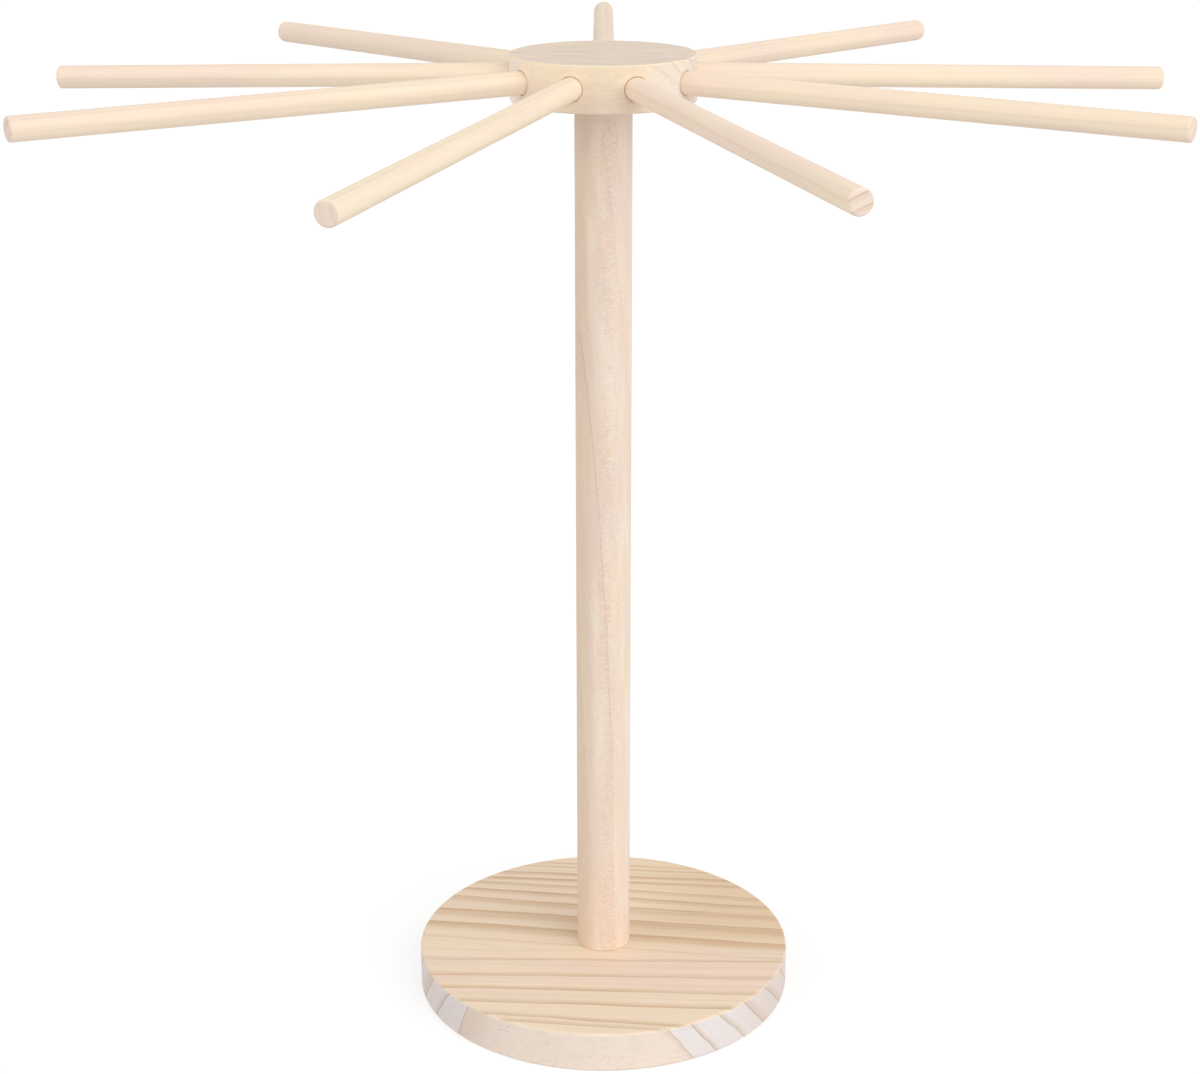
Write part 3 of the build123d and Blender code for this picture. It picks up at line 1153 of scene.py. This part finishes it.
# Its rings lie as planes that lean back, close together and faint, so they show
# as fine lines from left to right above, and as leaning lines on both sides.
hub_ring_places = (-37, -31, -26, -20, -15, -9, -4, 1, 7, 12, 18, 23, 28, 34, 40, 46, 52, 58)
hub_ring_depths = (
    0.35, 0.55, 0.30, 0.60, 0.40, 0.65, 0.35, 0.60, 0.40,
    0.55, 0.35, 0.60, 0.40, 0.55, 0.35, 0.50, 0.40, 0.50,
)
hub_ring_fall = 0.05
hub_ring_width = 2.6
hub_lean = 0.9
hub_rings = [
    (place, hub_ring_fall, hub_ring_width, depth)
    for place, depth in zip(hub_ring_places, hub_ring_depths)
]
hub_top_cream = paint(236, 220, 197)
hub_top_grey = paint(233, 215, 200)
hub_line = paint(212, 192, 166)
hub_side = paint(236, 214, 191)
hub_side_top = paint(246, 227, 198)
hub_end = paint(243, 228, 213)
hub_end_line = paint(216, 192, 170)
painted_rim_highlight = paint(252, 236, 204)
seam_shade_paint = paint(172, 132, 98)
hub_wood, wood, hub_shader = new_finish("bare_hub_wood")
hub_place = put(wood, "ShaderNodeTexCoord").outputs["Object"]
in_mm, across = in_millimetres(wood, hub_place)
below_top = minus(wood, hub_top / mm, across["Z"])
waver = sway(wood, in_mm, (14, 5, 5), 5.0, 3.0, 0.6)
from_front = reckon(wood, "MULTIPLY_ADD", below_top, -hub_lean, plus(wood, across["Y"], waver))
band_mask, _ = put_rings(wood, from_front, across["X"], hub_rings, 1.6)
hub_fibre = put_fibre(wood, hub_place, 14, 0.8)
hub_dash = cloud(wood, in_mm, (26, 1.5, 9), 2.0, 0.6)
hub_top_tone = lay_coats(wood, hub_top_cream, (
    (grade(wood, hub_fibre["Cloud"], 0.40, 0.60), 1, hub_top_grey),
    (band_mask, 0.75, hub_line),
    (grade(wood, hub_dash, 0.48, 0.66), 0.70, hub_line),
))

# The side shows long grain in front and behind. End grain begins a little right
# of the front's middle, and on the left only near the edge.
from_middle = plus(wood, grade(wood, across["X"], 8.0, 28.0), grade(wood, across["X"], -32.0, -37.0))
end_grain = times(wood, from_middle, grade(wood, reckon(wood, "ABSOLUTE", across["Y"]), 38.0, 34.0))
side_blotch = cloud(wood, in_mm, (11, 11, 5), 3.0, 0.55)
near_top = grade(wood, below_top, 13.0, 2.0)
near_top = plus(wood, near_top, grade(wood, side_blotch, 0.35, 0.65, -0.4, 0.4))
hub_end_tone = lay_coats(wood, hub_end, (
    (band_mask, grade(wood, across["X"], -20.0, 20.0, 0.20, 0.65), hub_end_line),
    (hub_fibre["Pore"], 0.15, hub_end_line),
))
side_tone = lay_coats(wood, hub_side, (
    (grade(wood, near_top, 0.0, 1.0, way="LINEAR"), 1, hub_side_top),
    (end_grain, 1, hub_end_tone),
))
# Painted light: the side is brightened towards the left.
side_tone = scaled(wood, side_tone, grade(wood, across["X"], -8.0, -28.0, 1.0, 1.12))
upward = upwards(wood)
# Painted highlight: the rounded rim at the top edge is laid in a paler colour.
rim_highlight_mask = times(wood, grade(wood, upward, 0.15, 0.5), grade(wood, upward, 0.97, 0.8))
hub_tone = lay_coats(wood, hub_top_tone, (
    (on_side(wood, upward), 1, side_tone),
    (rim_highlight_mask, 0.8, painted_rim_highlight),
))
hub_tone = scaled(wood, hub_tone, streak_level(wood, hub_fibre, 0.955, 1.035))

# The sockets are painted darker, up to the broken edge of each mouth: painted shade for the dark seam round
# each arm.
seam_shade_mask = put(wood, "ShaderNodeAttribute", attribute_name="seam_shade_mask").outputs["Fac"]
hub_tone = lay_coats(wood, hub_tone, ((seam_shade_mask, 0.85, seam_shade_paint),))
finish_wood(wood, hub_shader, hub_tone, hub_fibre, 0.62, 0.52, hub_fibre["Streak"])

hub_mesh.materials.append(hub_wood)
hub_disc = bpy.data.objects.new("hub_disc", hub_mesh)
bpy.context.scene.collection.objects.link(hub_disc)
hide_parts("hub")
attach(hub_disc, "hub")

# Arms. Nine plain dowels of pale wood, each pushed by hand into its socket.
# The outer end is cut square and rounded over, the inner end is chamfered.
# Each was cut from another stretch of the stick, so no two look the same.
arm_length = 226 * mm
arm_tip_round = 1.1 * mm
arm_chamfer = 0.8 * mm
arm_end_skin = 0.35 * mm
arm_segments = 72
arm_outline = [
    (0, 0),
    (arm_radius - arm_chamfer - support_gap, 0),
    (arm_radius - arm_chamfer, 0),
    (arm_radius, arm_chamfer),
    (arm_radius, arm_chamfer + support_gap),
    (arm_radius, arm_length / 3),
    (arm_radius, arm_length * 2 / 3),
    (arm_radius, arm_length - arm_tip_round - support_gap),
    *rounded(arm_radius - arm_tip_round, arm_length - arm_tip_round, arm_tip_round, 0, 90),
    (arm_radius - arm_tip_round - support_gap, arm_length),
    (0, arm_length),
]
arm_rings = (
    (0.9, 0.002, 1.6, 0.55),
    (3.1, -0.003, 1.4, 0.30),
    (5.6, 0.002, 1.8, 0.65),
    (7.4, 0.001, 1.2, 0.25),
)
arm_ring_cycle = 9.2
stick_span = 300
arm_cream = paint(250, 231, 206)
arm_pink = paint(247, 225, 206)
arm_line = paint(226, 197, 164)
arm_end = paint(238, 219, 207)
arm_end_line = paint(203, 166, 140)
arm_wood, wood, arm_shader = new_finish("bare_arm_wood")
grain_place = put(wood, "ShaderNodeAttribute", attribute_name="grain_place").outputs["Vector"]
arm_place = upright_grain(wood, grain_place)
in_mm, across = in_millimetres(wood, arm_place)
waver = sway(wood, in_mm, (60, 8, 8), 1.6)
along_stick = reckon(wood, "PINGPONG", across["X"], stick_span)
from_ring = reckon(wood, "FLOORED_MODULO", plus(wood, across["Y"], waver), arm_ring_cycle)
band_mask, line_mask = put_rings(wood, from_ring, along_stick, arm_rings, 1.8)
arm_fibre = put_fibre(wood, arm_place, 40, 0.5)
stick_tone_and_light, stick_line, end_grain = (
    put(wood, "ShaderNodeAttribute", attribute_name=name).outputs["Fac"]
    for name in ("stick_tone_and_light", "stick_line", "end_grain")
)
arm_tone = lay_coats(wood, arm_cream, (
    (grade(wood, arm_fibre["Cloud"], 0.40, 0.60), 1, arm_pink),
    (band_mask, 0.40, arm_line),
))
arm_level = times(wood, streak_level(wood, arm_fibre, 0.97, 1.025), stick_tone_and_light)
end_rings = times(wood, reckon(wood, "MAXIMUM", band_mask, line_mask), end_grain)
arm_tone = lay_coats(wood, scaled(wood, arm_tone, arm_level), (
    (end_grain, 0.6, arm_end),
    (end_rings, stick_line, arm_end_line),
))
finish_wood(wood, arm_shader, arm_tone, arm_fibre, 0.60, 0.50, arm_fibre["Streak"])

# Each arm's own tone, how strongly the rings show in its ends, and how far its
# figure is turned round it and shifted along the stick.
# The tones are partly each arm's own and partly painted light: the first arm, at the front right, is made
# lighter where it stands in shade.
stick_tones_and_light = (1.025, 1.03, 1.0, 0.98, 0.93, 0.98, 1.0, 0.985, 1.0)
stick_lines = (0.65, 0.4, 0.4, 0.5, 0.3, 0.5, 0.4, 0.4, 0.1)
figure_turns = (-0.4, 2.4, 4.5, 6.6, 8.7, 10.8, 12.9, 15.0, 17.1)
figure_shift_step = (311 * mm, 17 * mm, 23 * mm)
for arm_number in range(arm_count):
    arm_name = f"arm_{arm_number + 1}"
    arm_way = arm_ways[arm_name]
    arm_start = socket_mouth(first_arm_angle + arm_number * arm_step)
    arm_start += arm_way * (arm_standoffs[arm_name] - socket_depth)
    arm_dowel = turn_piece(arm_name + "_dowel", arm_outline, arm_wood, arm_segments, **{
        "Figure Turn": figure_turns[arm_number],
        "Figure Shift": tuple(part * arm_number for part in figure_shift_step),
        "Rotation": (0, math.acos(arm_way.z), math.atan2(arm_way.y, arm_way.x)),
        "Place": arm_start,
    })
    along_arm = [(point.co - arm_start).dot(arm_way) for point in arm_dowel.data.vertices]
    at_ends = [float(not arm_end_skin < distance < arm_length - arm_end_skin) for distance in along_arm]
    for label, row in (
        ("end_grain", at_ends),
        ("stick_tone_and_light", [stick_tones_and_light[arm_number]] * len(at_ends)),
        ("stick_line", [stick_lines[arm_number]] * len(at_ends)),
    ):
        arm_dowel.data.attributes.new(label, "FLOAT", "POINT").data.foreach_set("value", row)
    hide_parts(arm_name)
    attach(arm_dowel, arm_name)
